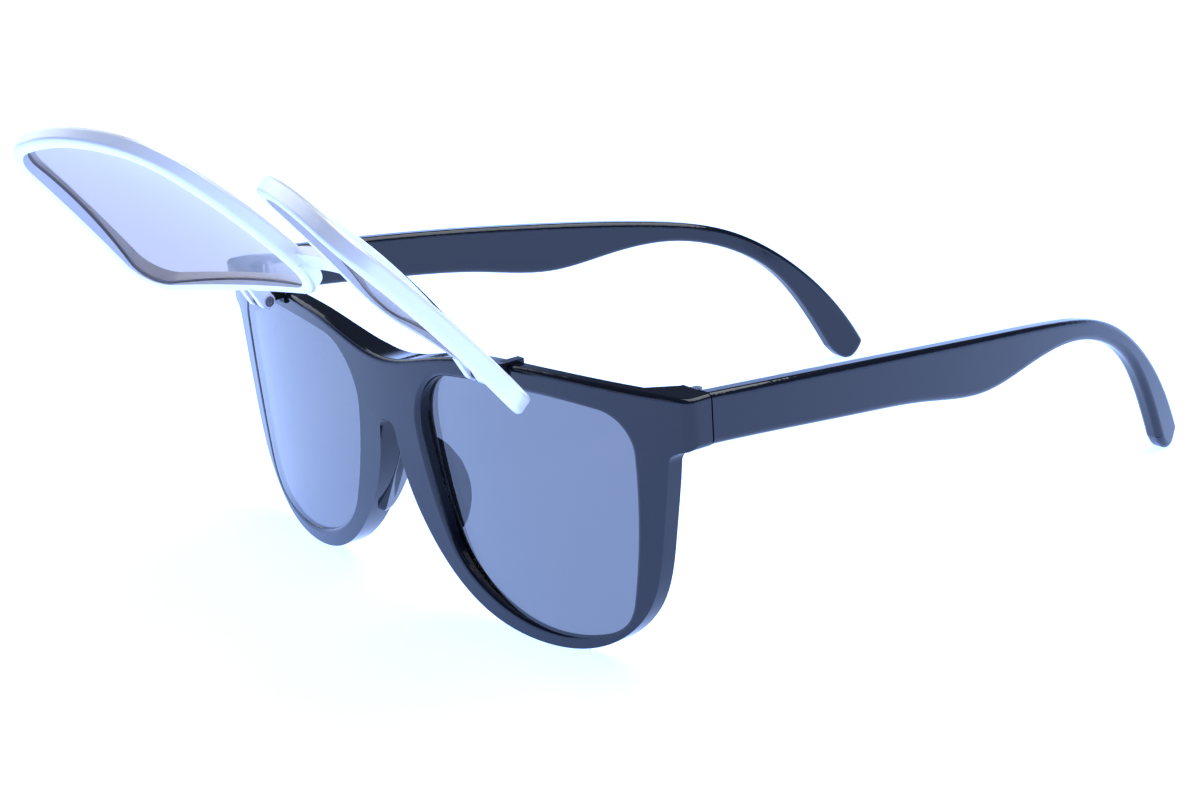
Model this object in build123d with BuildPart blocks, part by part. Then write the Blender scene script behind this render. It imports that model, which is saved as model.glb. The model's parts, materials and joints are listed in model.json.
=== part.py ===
"""Folding sunglasses with a flip-up pair of clip-on lenses hooked over the brow.

Millimetres.  X runs to the wearer's left, the front faces -Y, Z is up and the
glasses stand on Z = 0.  Everything is drawn with the temple joint at Y = 0 and
moved to the shared origin when it is written out.
"""
import os

from math import cos, radians, sin

from build123d import *

os.makedirs("parts", exist_ok=True)

# front frame
half_width = 72.3
face_radius = 213.0
face_y = -14.9
face_lean = 3.1
rim_behind_lens = 0.8
bridge_back = 5.6
joint_gap = 0.15
end_block_inner_x = 65.3
opening_inset = 1.1
opening_round = 0.9
brow_round = 0.9
groove_depth = 0.9
fit = 0.02

# sun lenses in the front frame
lens_thickness = 1.6
lens_radius = 140.0
lens_mid_x = 35.0
lens_mid_y = -11.4
lens_turn = 6.8

# temples
temple_bend_radius = 442.0
temple_thickness = 4.0
temple_edge = 1.2

# temple hinges
hinge_x = 66.4
hinge_y = 1.6
knuckle_radius = 1.3
screw_radius = 0.6
running_fit = 0.05
leaf_bottom = 42.4
leaf_top = 49.6
middle_knuckle = 2.4
knuckle_gap = 0.08

# clip rims, drawn upright before the clip is flipped up; clip_y is the back of the rim at X = 0
clip_y = -23.0
clip_z = 32.0
clip_radius_across = 185.0
clip_radius_down = 262.0
clip_drop = 4.6
clip_rim_depth = 3.5
clip_rim_width = 2.4
clip_rim_round = 0.9
clip_groove = 0.8

# clip lenses: more bulged than the rims
clip_lens_radius = 110.0
clip_lens_thickness = 1.0
clip_lens_x = 36.0
clip_lens_drop = 9.0
clip_lens_proud = 0.3

# flip hinge and hook brackets
flip_y = -19.8
flip_z = 51.2
flip_open = 137.0
hook_x = 35.2
hook_width = 1.7
hook_sheet = 0.5
hook_clearance = 0.1
brow_top = 51.42
flip_barrel = 1.5
flip_pin_radius = 0.6
arm_width = 1.5
arm_spacing = 3.6

# the shared origin is midway between the raised clip and the temple tips
origin_shift = -42.64

lean = (0, -sin(radians(face_lean)), cos(radians(face_lean)))
flip_axis = Axis((0, flip_y, flip_z), (1, 0, 0))


# ---------------------------------------------------------------- front frame
# Seen from the front: brow line, end piece, rim, nose side and bridge arch.
with BuildSketch(Plane.XZ.offset(joint_gap)) as front_outline:
    with BuildLine() as half_front:
        brow = Spline(
            (0, 46.3), (10, 47.8), (22, 50.4), (38, 51.4), (half_width, 50.6),
            tangents=((1, 0), (1, -0.03)),
        )
        end_side = Line(brow @ 1, (half_width, 41.8))
        end_under = Line(end_side @ 1, (67.8, 40.6))
        rim_side = Spline(
            end_under @ 1, (65.5, 26), (61.3, 11.5), (52, 3), (38, 0), (22, 3.6),
            (8.2, 16.6), (3.5, 27), (2.6, 31.8), (0, 34.3),
            tangents=((-0.1, -1), (-1, 0)),
        )
        Line(rim_side @ 1, brow @ 0)
    make_face()
    fillet(front_outline.vertices().sort_by_distance((half_width, 41.8))[0], 1.4)
    fillet(front_outline.vertices().sort_by_distance((67.8, 40.6))[0], 2.6)
    mirror(about=Plane.YZ)


def four_arc_outline(sides, corners, margin):
    """Rounded four-sided outline bounded by four shallow arcs, grown by a margin."""
    arcs = [ThreePointArc(*side) for side in sides]
    with BuildSketch(Plane.XZ) as outline:
        for index, arc in enumerate(arcs):
            with Locations(arc.arc_center):
                Circle(arc.radius + margin, mode=Mode.INTERSECT if index else Mode.ADD)
        for corner, radius in corners:
            fillet(outline.vertices().sort_by_distance(corner)[0], radius + margin)
    return outline.sketch


lens_sides = (
    ((8.3, 46.2), (35.7, 48.3), (61.5, 46.4)),
    ((61.5, 46.4), (61.1, 27), (57.3, 6.4)),
    ((57.3, 6.4), (39.5, 1.6), (16.2, 11.3)),
    ((16.2, 11.3), (10.2, 27.5), (8.3, 46.2)),
)
lens_corners = (((8.3, 46.2), 12), ((61.5, 46.4), 8), ((57.3, 6.4), 11), ((16.2, 11.3), 18))
lens_edge = four_arc_outline(lens_sides, lens_corners, -opening_inset)
lens_blank = four_arc_outline(lens_sides, lens_corners, groove_depth - opening_inset)
groove_blank = four_arc_outline(lens_sides, lens_corners, groove_depth - opening_inset + fit)

lens_turn_radians = radians(lens_turn)
lens_centre = (
    lens_mid_x - lens_radius * sin(lens_turn_radians),
    lens_mid_y + lens_radius * cos(lens_turn_radians),
)
rim_back_radius = lens_radius - lens_thickness - rim_behind_lens


def face_section(clearance):
    """Plan of the front: a shallow outer arc, the back following each lens."""
    with BuildSketch() as section:
        with Locations((0, face_y + face_radius)):
            Circle(face_radius + clearance)
        with Locations((half_width / 2, face_y + 10)):
            Rectangle(half_width, 24, mode=Mode.INTERSECT)
        with Locations(lens_centre):
            Circle(rim_back_radius - clearance, mode=Mode.SUBTRACT)
        mirror(about=Plane.YZ)
        with Locations((0, face_y + bridge_back + 10)):
            Rectangle(30, 20, mode=Mode.SUBTRACT)
    return section.sketch


with BuildSketch() as face_plan:
    add(face_section(0))
    fillet(face_plan.vertices().sort_by(Axis.Y).filter_by(lambda v: abs(v.X) > 72)[:2], 2.5)

# The end blocks carry the face back to the temple joint.
with BuildSketch() as end_plan:
    with Locations((0, face_y + face_radius)):
        Circle(face_radius)
    with Locations((0, face_y + 12)):
        Rectangle(2 * half_width, 26, mode=Mode.INTERSECT)
    fillet(end_plan.vertices().group_by(Axis.Y)[0], 2.5)
    Polygon(
        (-end_block_inner_x, 12), (end_block_inner_x, 12), (end_block_inner_x, 2),
        (end_block_inner_x - 22, -30), (22 - end_block_inner_x, -30), (-end_block_inner_x, 2),
        align=None, mode=Mode.SUBTRACT,
    )


def lens_band(clearance):
    """Plan of the curved sheet the sun lens is cut from."""
    with BuildSketch() as band:
        with Locations(lens_centre):
            Circle(lens_radius + clearance)
            Circle(lens_radius - lens_thickness - clearance, mode=Mode.SUBTRACT)
        with Locations((lens_mid_x, lens_mid_y)):
            Rectangle(62, 24, mode=Mode.INTERSECT)
    return band.sketch


with BuildPart() as left_lens:
    extrude(lens_band(0), amount=60, dir=lean)
    extrude(lens_blank, amount=32, mode=Mode.INTERSECT)

with BuildPart() as right_lens:
    mirror(left_lens.part, about=Plane.YZ)

with BuildPart() as lens_groove:
    extrude(lens_band(fit), amount=60, dir=lean)
    extrude(groove_blank, amount=32, mode=Mode.INTERSECT)

# Moulded nose pad: a rounded fin behind the nose side of the rim.
pad_plane = Plane((8.0, -11.0, 21.5), x_dir=(0.47, 0.88, 0), z_dir=(0.80, -0.43, 0.36))
with BuildPart() as nose_pad:
    with BuildSketch(pad_plane):
        with BuildLine():
            pad_root = Line((-3.5, 11), (-1.6, -8.5))
            Spline(
                pad_root @ 1, (2.6, -8.2), (5.2, -4), (5.4, 2), (1.8, 8.6), pad_root @ 0,
            )
        make_face()
    extrude(amount=1.6, both=True)
    fillet(nose_pad.faces().sort_by(Axis.Y)[-1].edges(), 1.1)

# Hinge leaves: a plate let into the plastic and knuckles round a screw.
knuckle_middle = (leaf_bottom + leaf_top) / 2
lower_knuckle = (leaf_bottom, knuckle_middle - middle_knuckle / 2 - knuckle_gap)
upper_knuckle = (knuckle_middle + middle_knuckle / 2 + knuckle_gap, leaf_top)

with BuildPart() as left_front_leaf:
    with Locations((67.4, -joint_gap - 0.5, knuckle_middle)):
        Box(4.0, 1.0, leaf_top - leaf_bottom)
    for bottom_z, top_z in (lower_knuckle, upper_knuckle):
        with Locations((hinge_x - 0.2, hinge_y / 2 - 0.1, (bottom_z + top_z) / 2)):
            Box(1.2, hinge_y + 0.2, top_z - bottom_z)
        with Locations((hinge_x, hinge_y, bottom_z)):
            Cylinder(knuckle_radius, top_z - bottom_z, align=(Align.CENTER, Align.CENTER, Align.MIN))
            Cylinder(
                screw_radius + 0.01, top_z - bottom_z,
                align=(Align.CENTER, Align.CENTER, Align.MIN), mode=Mode.SUBTRACT,
            )

with BuildPart() as left_temple_leaf:
    with Locations((67.8, 6.4, knuckle_middle)):
        Box(0.8, 6.4, leaf_top - leaf_bottom - 1.6)
    with Locations((67.2, 2.8, knuckle_middle)):
        Box(1.6, 2.4, middle_knuckle)
    with Locations((hinge_x, hinge_y, knuckle_middle)):
        Cylinder(knuckle_radius, middle_knuckle)
        Cylinder(screw_radius + running_fit, middle_knuckle, mode=Mode.SUBTRACT)

with BuildPart() as left_hinge_screw:
    with Locations((hinge_x, hinge_y, leaf_bottom)):
        Cylinder(screw_radius, leaf_top - leaf_bottom, align=(Align.CENTER, Align.CENTER, Align.MIN))
    with Locations((hinge_x, hinge_y, leaf_top)):
        Cylinder(1.1, 0.5, align=(Align.CENTER, Align.CENTER, Align.MIN))
    with Locations((hinge_x, hinge_y, leaf_top + 0.5)):
        Box(2.4, 0.3, 0.5, mode=Mode.SUBTRACT)

with BuildPart() as right_front_leaf:
    mirror(left_front_leaf.part, about=Plane.YZ)

with BuildPart() as right_temple_leaf:
    mirror(left_temple_leaf.part, about=Plane.YZ)

with BuildPart() as right_hinge_screw:
    mirror(left_hinge_screw.part, about=Plane.YZ)

with BuildPart() as front_frame:
    extrude(face_plan.sketch, amount=60, dir=lean)
    extrude(front_outline.sketch, amount=32, mode=Mode.INTERSECT)
    with BuildPart(mode=Mode.PRIVATE) as end_blocks:
        extrude(end_plan.sketch, amount=60, dir=lean)
        extrude(front_outline.sketch, amount=32, mode=Mode.INTERSECT)
        with Locations((0, 0, 20)):
            Box(200, 200, 41, mode=Mode.SUBTRACT)
    add(end_blocks.part)
    fillet(front_frame.edges().sort_by(Edge.length)[-1], brow_round)
    with BuildPart(mode=Mode.PRIVATE) as window:
        extrude(lens_edge, amount=32)
    add(window.part, mode=Mode.SUBTRACT)
    fillet(front_frame.edges(Select.LAST).filter_by(Axis.Y, reverse=True), opening_round)
    mirror(window.part, about=Plane.YZ, mode=Mode.SUBTRACT)
    fillet(front_frame.edges(Select.LAST).filter_by(Axis.Y, reverse=True), opening_round)
    add(nose_pad.part)
    mirror(nose_pad.part, about=Plane.YZ)
    add(lens_groove.part, mode=Mode.SUBTRACT)
    mirror(lens_groove.part, about=Plane.YZ, mode=Mode.SUBTRACT)
    add(left_front_leaf.part, mode=Mode.SUBTRACT)
    mirror(left_front_leaf.part, about=Plane.YZ, mode=Mode.SUBTRACT)

# ------------------------------------------------------------------- temples
with BuildSketch(Plane.YZ) as temple_side:
    with BuildLine():
        temple_top = Spline(
            (joint_gap, 50.7), (35, 47.4), (72, 42.8), (96, 39.1), (112, 34.8),
            (128, 24.4), (138.5, 12.6), (143.8, 3.6),
        )
        temple_tip = Spline(temple_top @ 1, (140.6, 0), (135.8, 3.4))
        temple_under = Spline(
            temple_tip @ 1, (130, 14), (123, 23.2), (112, 30.5), (98, 34.3),
            (84, 33.9), (70, 32.6), (52, 35.6), (34, 38.2), (joint_gap, 41.7),
        )
        Line(temple_under @ 1, temple_top @ 0)
    make_face()

with BuildSketch() as temple_plan:
    with Locations((half_width - temple_bend_radius, 0)):
        Circle(temple_bend_radius)
        Circle(temple_bend_radius - temple_thickness, mode=Mode.SUBTRACT)
    with Locations((50, 75)):
        Rectangle(60, 2 * (75 - joint_gap), mode=Mode.INTERSECT)

with BuildPart() as left_temple:
    extrude(temple_plan.sketch, amount=56)
    extrude(temple_side.sketch, amount=90, mode=Mode.INTERSECT)
    fillet(left_temple.edges().filter_by(lambda e: (e @ 0.5).Y > 1), temple_edge)
    add(left_temple_leaf.part, mode=Mode.SUBTRACT)

with BuildPart() as right_temple:
    mirror(left_temple.part, about=Plane.YZ)

# ---------------------------------------------------------------------- clip
clip_sides = (
    ((10.8, clip_z + 11.8), (37, clip_z + 13.3), (60.3, clip_z + 12)),
    ((60.3, clip_z + 12), (58.7, clip_z - 4), (54.2, clip_z - 28.9)),
    ((54.2, clip_z - 28.9), (36.5, clip_z - 30.8), (19.6, clip_z - 25.2)),
    ((19.6, clip_z - 25.2), (13.4, clip_z - 8), (10.8, clip_z + 11.8)),
)
clip_corners = (
    ((10.8, clip_z + 11.8), 6), ((60.3, clip_z + 12), 6.5),
    ((54.2, clip_z - 28.9), 8), ((19.6, clip_z - 25.2), 14),
)
clip_tilt = clip_lens_x / clip_radius_across
clip_lens_y = (
    clip_y - clip_rim_depth + clip_lens_x**2 / (2 * clip_radius_across) - clip_lens_proud
)
clip_lens_centre = (
    clip_lens_x - clip_lens_radius * sin(clip_tilt),
    clip_lens_y + clip_lens_radius * cos(clip_tilt),
    clip_z - clip_lens_drop,
)


def clip_glass(margin, clearance):
    """Spherical shell trimmed to the grown lens outline."""
    with BuildPart() as glass:
        with Locations(clip_lens_centre):
            Sphere(clip_lens_radius + clearance)
            Sphere(clip_lens_radius - clip_lens_thickness - clearance, mode=Mode.SUBTRACT)
        extrude(
            four_arc_outline(clip_sides, clip_corners, margin), amount=40, both=True,
            mode=Mode.INTERSECT,
        )
    return glass.part


with BuildPart() as clip_left_lens:
    add(clip_glass(clip_groove, 0))

with BuildPart() as clip_right_lens:
    mirror(clip_left_lens.part, about=Plane.YZ)

# Bar over the nose, bowed forward, let into the front of both rims.
bar_end_x = 10.2
bar_bottom = clip_z + 3.4
bar_height = 4.6
bar_screw_x = 9.5
bar_screw_z = clip_z + 5.6
with BuildPart() as clip_bridge:
    with BuildSketch(Plane.XY.offset(bar_bottom)):
        with BuildLine():
            bar_front = ThreePointArc(
                (-bar_end_x, clip_y - 3.2), (0, clip_y - 4.4), (bar_end_x, clip_y - 3.2),
            )
            bar_end = Line(bar_front @ 1, (bar_end_x, clip_y - 1.2))
            bar_back = ThreePointArc(
                bar_end @ 1, (0, clip_y - 2.2), (-bar_end_x, clip_y - 1.2),
            )
            Line(bar_back @ 1, bar_front @ 0)
        make_face()
    extrude(amount=bar_height)
    with BuildSketch(Plane.XZ.offset(-clip_y)):
        with Locations((bar_screw_x, bar_screw_z), (-bar_screw_x, bar_screw_z)):
            Circle(0.5)
    extrude(amount=8, mode=Mode.SUBTRACT)
    fillet(clip_bridge.faces().sort_by(Axis.Y)[0].edges().filter_by(GeomType.CIRCLE), 0.4)

# Screw from the back of the rim into the bar, its head sunk flush.
with BuildPart() as clip_left_screw:
    with BuildSketch(Plane.XZ.offset(-clip_y + 0.1)):
        with Locations((bar_screw_x, bar_screw_z)):
            Circle(0.8)
    extrude(amount=0.7)
    with BuildSketch(Plane.XZ.offset(-clip_y + 0.8)):
        with Locations((bar_screw_x, bar_screw_z)):
            Circle(0.5)
    extrude(amount=2.0)
    with Locations((bar_screw_x, clip_y - 0.1, bar_screw_z)):
        Box(1.8, 0.5, 0.25, mode=Mode.SUBTRACT)

with BuildPart() as clip_right_screw:
    mirror(clip_left_screw.part, about=Plane.YZ)

with BuildPart() as clip_left_rim:
    with BuildSketch(Plane.YZ):
        with Locations((clip_y + clip_radius_down, clip_z - clip_drop)):
            Circle(clip_radius_down + clip_rim_depth)
            Circle(clip_radius_down, mode=Mode.SUBTRACT)
        with Locations((clip_y, clip_z - clip_drop)):
            Rectangle(24, 64, mode=Mode.INTERSECT)
    revolve(axis=Axis((0, clip_y + clip_radius_across, 0), (0, 0, 1)), revolution_arc=24)
    extrude(
        four_arc_outline(clip_sides, clip_corners, clip_rim_width), amount=40, both=True,
        mode=Mode.INTERSECT,
    )
    fillet(clip_left_rim.edges(), clip_rim_round)
    extrude(
        four_arc_outline(clip_sides, clip_corners, 0), amount=40, both=True,
        mode=Mode.SUBTRACT,
    )
    add(clip_glass(clip_groove + fit, fit), mode=Mode.SUBTRACT)
    # two arms from the top of the rim to barrels on the flip pin
    for side in (-1, 1):
        with BuildSketch(Plane.YZ.offset(hook_x + (side * arm_spacing - arm_width) / 2)):
            with BuildLine():
                Polyline(
                    (flip_y - flip_barrel, flip_z - 0.3), (flip_y - 2.2, flip_z - 4.6),
                    (flip_y + 0.6, flip_z - 4.6), (flip_y + flip_barrel, flip_z - 0.3),
                    (flip_y - flip_barrel, flip_z - 0.3),
                )
            make_face()
            with Locations((flip_y, flip_z)):
                Circle(flip_barrel)
                Circle(flip_pin_radius + running_fit, mode=Mode.SUBTRACT)
        extrude(amount=arm_width)
    add(clip_bridge.part, mode=Mode.SUBTRACT)
    add(clip_left_screw.part, mode=Mode.SUBTRACT)

# the screw recess frees a crumb beside the lens groove; only the rim is kept
with BuildPart() as left_rim_body:
    add(clip_left_rim.part.solids().sort_by(SortBy.VOLUME)[-1])

with BuildPart() as clip_right_rim:
    mirror(left_rim_body.part, about=Plane.YZ)

# ------------------------------------------------------------- hook brackets
# Thin saddle bent over the brow: claw behind, short lip in front, and a
# tongue reaching forward to the flip pin between the two arms of the rim.
hook_front = -15.4
hook_back = -11.0
slot_top = brow_top + hook_clearance
with BuildPart() as left_hook:
    with BuildSketch(Plane.YZ.offset(hook_x - hook_width / 2)):
        with BuildLine():
            Polyline(
                (hook_back, 47.6), (hook_back, slot_top + hook_sheet),
                (hook_front, slot_top + hook_sheet), (hook_front, 49.6), (hook_back, 47.6),
            )
        make_face()
        with BuildLine():
            Polyline(
                (hook_front + 0.4, 50.6), (hook_front + 0.4, slot_top + hook_sheet),
                (flip_y + 0.6, flip_z + flip_barrel - 0.4), (flip_y, flip_z - 0.9),
                (hook_front + 0.4, 50.6),
            )
        make_face()
        with Locations((flip_y, flip_z)):
            Circle(flip_barrel - 0.3)
    extrude(amount=hook_width)
    extrude(face_section(hook_clearance), amount=slot_top, dir=lean, mode=Mode.SUBTRACT)
    with Locations((hook_x, flip_y, flip_z)):
        Cylinder(flip_pin_radius + 0.01, hook_width, rotation=(0, 90, 0), mode=Mode.SUBTRACT)

pin_length = arm_spacing + arm_width + 0.3
with BuildPart() as left_flip_pin:
    with Locations((hook_x, flip_y, flip_z)):
        Cylinder(flip_pin_radius, pin_length, rotation=(0, 90, 0))
    for side in (-1, 1):
        with Locations((hook_x + side * (pin_length / 2 + 0.2), flip_y, flip_z)):
            Cylinder(1.0, 0.4, rotation=(0, 90, 0))

with BuildPart() as right_hook:
    mirror(left_hook.part, about=Plane.YZ)

with BuildPart() as right_flip_pin:
    mirror(left_flip_pin.part, about=Plane.YZ)

# ------------------------------------------------------------------- writing
worn_pieces = {
    "front_frame": front_frame,
    "left_sun_lens": left_lens,
    "right_sun_lens": right_lens,
    "left_temple": left_temple,
    "right_temple": right_temple,
    "left_front_hinge_leaf": left_front_leaf,
    "right_front_hinge_leaf": right_front_leaf,
    "left_temple_hinge_leaf": left_temple_leaf,
    "right_temple_hinge_leaf": right_temple_leaf,
    "left_temple_hinge_screw": left_hinge_screw,
    "right_temple_hinge_screw": right_hinge_screw,
    "left_clip_hook": left_hook,
    "right_clip_hook": right_hook,
    "left_flip_pin": left_flip_pin,
    "right_flip_pin": right_flip_pin,
}
flipped_pieces = {
    "left_clip_rim": left_rim_body,
    "right_clip_rim": clip_right_rim,
    "left_clip_lens": clip_left_lens,
    "right_clip_lens": clip_right_lens,
    "clip_bridge_bar": clip_bridge,
    "left_bridge_screw": clip_left_screw,
    "right_bridge_screw": clip_right_screw,
}
to_origin = Location((0, origin_shift, 0))

for name, piece in worn_pieces.items():
    solid = piece.part.moved(to_origin)
    solid.label = name
    export_step(solid, f"parts/{name}.step")

for name, piece in flipped_pieces.items():
    solid = piece.part.rotate(flip_axis, -flip_open).moved(to_origin)
    solid.label = name
    export_step(solid, f"parts/{name}.step")
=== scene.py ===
"""Looks of the flip-up clip-on sunglasses: materials, studio and camera.

Metres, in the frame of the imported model: X to the wearer's left, the front faces -Y,
Z up, and the rims and temple tips stand on Z = 0.
"""
import json
import math

import bpy
from mathutils import Matrix, Vector

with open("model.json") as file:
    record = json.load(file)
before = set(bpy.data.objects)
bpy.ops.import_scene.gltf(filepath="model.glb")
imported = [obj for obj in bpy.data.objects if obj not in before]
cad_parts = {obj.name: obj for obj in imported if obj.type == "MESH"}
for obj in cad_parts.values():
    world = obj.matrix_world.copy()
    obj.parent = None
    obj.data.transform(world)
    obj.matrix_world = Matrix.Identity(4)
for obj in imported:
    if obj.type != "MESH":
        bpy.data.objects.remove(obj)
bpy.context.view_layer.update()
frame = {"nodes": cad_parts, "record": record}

nodes = frame["nodes"]
scene = bpy.context.scene

# ------------------------------------------------------------------ camera
CAMERA_AZIMUTH = math.radians(52.73)
CAMERA_ELEVATION = math.radians(17.81)
CAMERA_ROLL = math.radians(-3.44)
CAMERA_PLACE = Vector((0.3940, -0.3103, 0.1851))
LENS_PER_SENSOR = 2.248

# ------------------------------------------------------------------ studio
FLOOR_HALF = 4.0
SKY_LOW = (1.02, 1.50, 2.90, 1)
SKY_HIGH = (0.05, 0.06, 0.10, 1)


def make_camera():
    """A camera from azimuth, elevation and roll, all about its own place."""
    forward = Vector((
        -math.sin(CAMERA_AZIMUTH) * math.cos(CAMERA_ELEVATION),
        math.cos(CAMERA_AZIMUTH) * math.cos(CAMERA_ELEVATION),
        -math.sin(CAMERA_ELEVATION),
    ))
    level_right = forward.cross(Vector((0, 0, 1))).normalized()
    level_up = level_right.cross(forward)
    right = math.cos(CAMERA_ROLL) * level_right + math.sin(CAMERA_ROLL) * level_up
    up = right.cross(forward)
    data = bpy.data.cameras.new("camera")
    data.sensor_width = 36
    data.lens = data.sensor_width * LENS_PER_SENSOR
    data.clip_start = 0.01
    camera = bpy.data.objects.new("camera", data)
    camera.matrix_world = Matrix.Translation(CAMERA_PLACE) @ Matrix((
        (right.x, up.x, -forward.x), (right.y, up.y, -forward.y), (right.z, up.z, -forward.z),
    )).to_4x4()
    scene.collection.objects.link(camera)
    scene.camera = camera


def node_maker(tree):
    """Returns a function that adds a node, sets its inputs and links what is linked."""
    def add(kind, inputs=None, **settings):
        node = tree.nodes.new(kind)
        for key, value in settings.items():
            setattr(node, key, value)
        for key, value in (inputs or {}).items():
            if isinstance(value, bpy.types.NodeSocket):
                tree.links.new(value, node.inputs[key])
            else:
                node.inputs[key].default_value = value
        return node
    return add


def make_world():
    """Bright bluish sky at the horizon that darkens overhead, as in a room with a lit cove."""
    world = bpy.data.worlds.new("studio")
    world.use_nodes = True
    tree = world.node_tree
    tree.nodes.clear()
    add = node_maker(tree)
    place = add("ShaderNodeTexCoord")
    axes = add("ShaderNodeSeparateXYZ", {0: place.outputs["Generated"]})
    ramp = add("ShaderNodeValToRGB", {0: axes.outputs["Z"]})
    ramp.color_ramp.interpolation = "EASE"
    ramp.color_ramp.elements[0].position = 0.06
    ramp.color_ramp.elements[0].color = SKY_LOW
    ramp.color_ramp.elements[1].position = 0.36
    ramp.color_ramp.elements[1].color = SKY_HIGH
    sky = add("ShaderNodeBackground", {"Color": ramp.outputs[0], "Strength": 1.0})
    out = add("ShaderNodeOutputWorld")
    tree.links.new(sky.outputs[0], out.inputs[0])
    scene.world = world


def make_floor():
    mesh = bpy.data.meshes.new("floor")
    corners = [(-FLOOR_HALF, -FLOOR_HALF, 0), (FLOOR_HALF, -FLOOR_HALF, 0),
               (FLOOR_HALF, FLOOR_HALF, 0), (-FLOOR_HALF, FLOOR_HALF, 0)]
    mesh.from_pydata(corners, [], [(0, 1, 2, 3)])
    floor = bpy.data.objects.new("floor", mesh)
    scene.collection.objects.link(floor)
    paper = bpy.data.materials.new("floor_paper")
    paper.use_nodes = True
    shader = paper.node_tree.nodes["Principled BSDF"]
    shader.inputs["Base Color"].default_value = (0.42, 0.42, 0.42, 1)
    shader.inputs["Emission Color"].default_value = (0.31, 0.47, 0.95, 1)
    shader.inputs["Emission Strength"].default_value = 2.55
    shader.inputs["Roughness"].default_value = 0.9
    shader.inputs["Specular IOR Level"].default_value = 0.1
    mesh.materials.append(paper)


def softbox(name, place, target, width, height, power, colour):
    """A rectangular area light facing its target."""
    data = bpy.data.lights.new(name, "AREA")
    data.shape = "RECTANGLE"
    data.size = width
    data.size_y = height
    data.energy = power
    data.color = colour
    light = bpy.data.objects.new(name, data)
    light.location = place
    light.rotation_euler = (Vector(target) - Vector(place)).to_track_quat("-Z", "Y").to_euler()
    scene.collection.objects.link(light)


# --------------------------------------------------------------- materials
def material(name):
    """An empty node material with its output, and the node adder for its tree."""
    made = bpy.data.materials.new(name)
    made.use_nodes = True
    made.node_tree.nodes.clear()
    return made, node_maker(made.node_tree)


def finish_surface(made, add, surface):
    out = add("ShaderNodeOutputMaterial")
    made.node_tree.links.new(surface.outputs[0], out.inputs["Surface"])


def black_plastic():
    """Polished injection-moulded black: faint waviness, smudges and a few dust specks."""
    made, add = material("polished_black_plastic")
    place = add("ShaderNodeTexCoord").outputs["Object"]
    wave = add("ShaderNodeTexNoise", {"Vector": place, "Scale": 160.0, "Detail": 2.0})
    fine = add("ShaderNodeTexNoise", {"Vector": place, "Scale": 2600.0, "Detail": 3.0})
    dust = add("ShaderNodeTexVoronoi", {"Vector": place, "Scale": 190.0, "Randomness": 1.0})
    speck = add("ShaderNodeMapRange", {0: dust.outputs["Distance"], 1: 0.018, 2: 0.032, 3: 1.0, 4: 0.0})
    chance = add("ShaderNodeSeparateColor", {0: dust.outputs["Color"]})
    few = add("ShaderNodeMath", {0: chance.outputs[0], 1: 0.86}, operation="GREATER_THAN")
    specks = add("ShaderNodeMath", {0: speck.outputs[0], 1: few.outputs[0]}, operation="MULTIPLY")
    colour = add("ShaderNodeMix", {0: specks.outputs[0]}, data_type="RGBA")
    colour.inputs[6].default_value = (0.0060, 0.0075, 0.0125, 1)
    colour.inputs[7].default_value = (0.45, 0.48, 0.55, 1)
    smudge = add("ShaderNodeMapRange", {0: fine.outputs[0], 1: 0.4, 2: 0.75, 3: 0.06, 4: 0.13})
    rough = add("ShaderNodeMath", {0: smudge.outputs[0], 1: specks.outputs[0]}, operation="ADD")
    bump = add("ShaderNodeBump", {"Height": wave.outputs[0], "Strength": 0.05, "Distance": 0.0004})
    shader = add("ShaderNodeBsdfPrincipled", {
        "Base Color": colour.outputs[2], "Roughness": rough.outputs[0], "Normal": bump.outputs[0],
        "IOR": 1.45,
    })
    finish_surface(made, add, shader)
    return made


def tinted_sheet(name, tint, roughness, smear_scale):
    """Tinted see-through sheet with a faint smear in its gloss."""
    made, add = material(name)
    place = add("ShaderNodeTexCoord").outputs["Object"]
    smear = add("ShaderNodeTexNoise", {"Vector": place, "Scale": smear_scale, "Detail": 4.0})
    gloss = add("ShaderNodeMapRange", {
        0: smear.outputs[0], 1: 0.45, 2: 0.8, 3: roughness, 4: roughness + 0.03,
    })
    shader = add("ShaderNodeBsdfPrincipled", {
        "Base Color": tint, "Roughness": gloss.outputs[0], "IOR": 1.5, "Transmission Weight": 1.0,
    })
    finish_surface(made, add, shader)
    return made


def pearl_lacquer(name, tint):
    """Satin silver-white lacquer: fine metallic flake under a soft clear coat."""
    made, add = material(name)
    place = add("ShaderNodeTexCoord").outputs["Object"]
    flake = add("ShaderNodeTexVoronoi", {"Vector": place, "Scale": 5200.0})
    cloud = add("ShaderNodeTexNoise", {"Vector": place, "Scale": 90.0, "Detail": 3.0})
    colour = add("ShaderNodeMix", {0: cloud.outputs[0]}, data_type="RGBA")
    colour.inputs[6].default_value = tint
    colour.inputs[7].default_value = (tint[0] * 0.93, tint[1] * 0.91, tint[2] * 0.92, 1)
    glitter = add("ShaderNodeMapRange", {0: flake.outputs["Distance"], 1: 0.0, 2: 1.0, 3: 0.30, 4: 0.42})
    bump = add("ShaderNodeBump", {"Height": flake.outputs["Distance"], "Strength": 0.06, "Distance": 0.00005})
    shader = add("ShaderNodeBsdfPrincipled", {
        "Base Color": colour.outputs[2], "Roughness": glitter.outputs[0], "Normal": bump.outputs[0],
        "Metallic": 0.25, "Coat Weight": 0.35, "Coat Roughness": 0.12,
    })
    finish_surface(made, add, shader)
    return made


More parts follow.
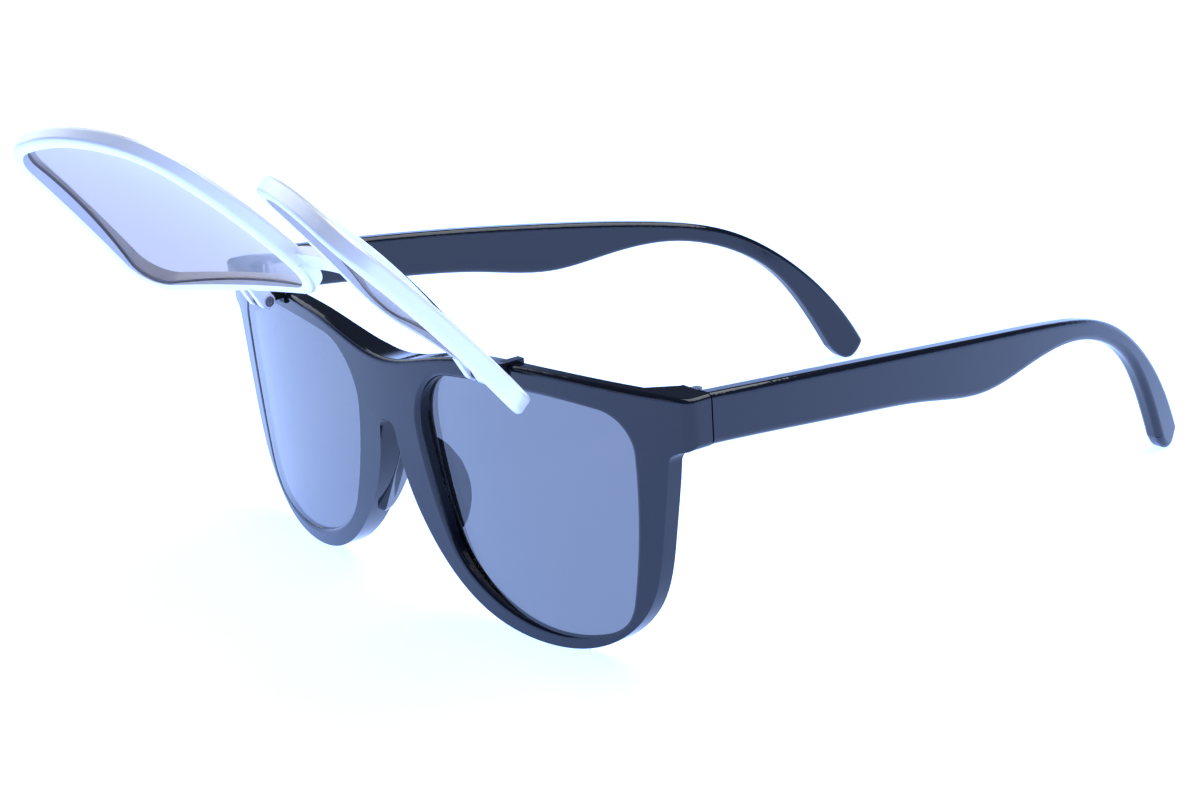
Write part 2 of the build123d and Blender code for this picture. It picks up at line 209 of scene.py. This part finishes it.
def brushed_steel(name, tint, roughness):
    """Bright steel with fine lines along X."""
    made, add = material(name)
    place = add("ShaderNodeTexCoord").outputs["Object"]
    squeezed = add("ShaderNodeMapping", {"Vector": place, "Scale": (60.0, 5200.0, 5200.0)})
    lines = add("ShaderNodeTexNoise", {"Vector": squeezed.outputs[0], "Scale": 1.0, "Detail": 3.0})
    gloss = add("ShaderNodeMapRange", {
        0: lines.outputs[0], 1: 0.3, 2: 0.7, 3: roughness - 0.07, 4: roughness + 0.09,
    })
    bump = add("ShaderNodeBump", {"Height": lines.outputs[0], "Strength": 0.12, "Distance": 0.00002})
    shader = add("ShaderNodeBsdfPrincipled", {
        "Base Color": tint, "Roughness": gloss.outputs[0], "Normal": bump.outputs[0], "Metallic": 1.0,
    })
    finish_surface(made, add, shader)
    return made


finishes = {
    "frame_plastic": black_plastic(),
    "sun_lens_tint": tinted_sheet("smoke_sun_lens", (0.155, 0.155, 0.158, 1), 0.01, 60.0),
    "clip_lens_tint": tinted_sheet("pale_smoke_clip_lens", (0.43, 0.35, 0.29, 1), 0.02, 45.0),
    "clip_rim_satin": pearl_lacquer("satin_silver_rim", (0.90, 0.88, 0.87, 1)),
    "clip_bar_satin": pearl_lacquer("satin_silver_bar", (0.92, 0.90, 0.89, 1)),
    "hook_steel": brushed_steel("black_hook_steel", (0.035, 0.036, 0.04, 1), 0.30),
    "hinge_steel": brushed_steel("hinge_steel", (0.58, 0.58, 0.60, 1), 0.28),
    "screw_steel": brushed_steel("screw_steel", (0.68, 0.68, 0.70, 1), 0.20),
}

# width of the softened arris on each moulded or rolled piece
SOFT_EDGES = {
    "front_frame": 0.0005, "left_temple": 0.0006, "right_temple": 0.0006,
    "left_clip_rim": 0.0002, "right_clip_rim": 0.0002, "clip_bridge_bar": 0.0004,
    "left_clip_hook": 0.00012, "right_clip_hook": 0.00012,
}

for entry in frame["record"]["subparts"]:
    piece = nodes[entry["node"]]
    piece.data.materials.clear()
    piece.data.materials.append(finishes[entry["material_slot"]])
    if entry["node"] in SOFT_EDGES:
        soften = piece.modifiers.new("soft_edge", "BEVEL")
        soften.width = SOFT_EDGES[entry["node"]]
        soften.segments = 3
        soften.limit_method = "ANGLE"
        soften.angle_limit = math.radians(32)
        soften.harden_normals = True

make_camera()
make_world()
make_floor()
softbox("overhead", (0.1, 0.5, 1.3), (0, 0, 0.03), 1.6, 1.2, 22, (0.86, 0.93, 1.0))
softbox("side", (-1.3, -0.1, 0.8), (0, 0, 0.03), 1.0, 1.0, 6, (0.80, 0.90, 1.0))
scene.view_settings.view_transform = "Standard"
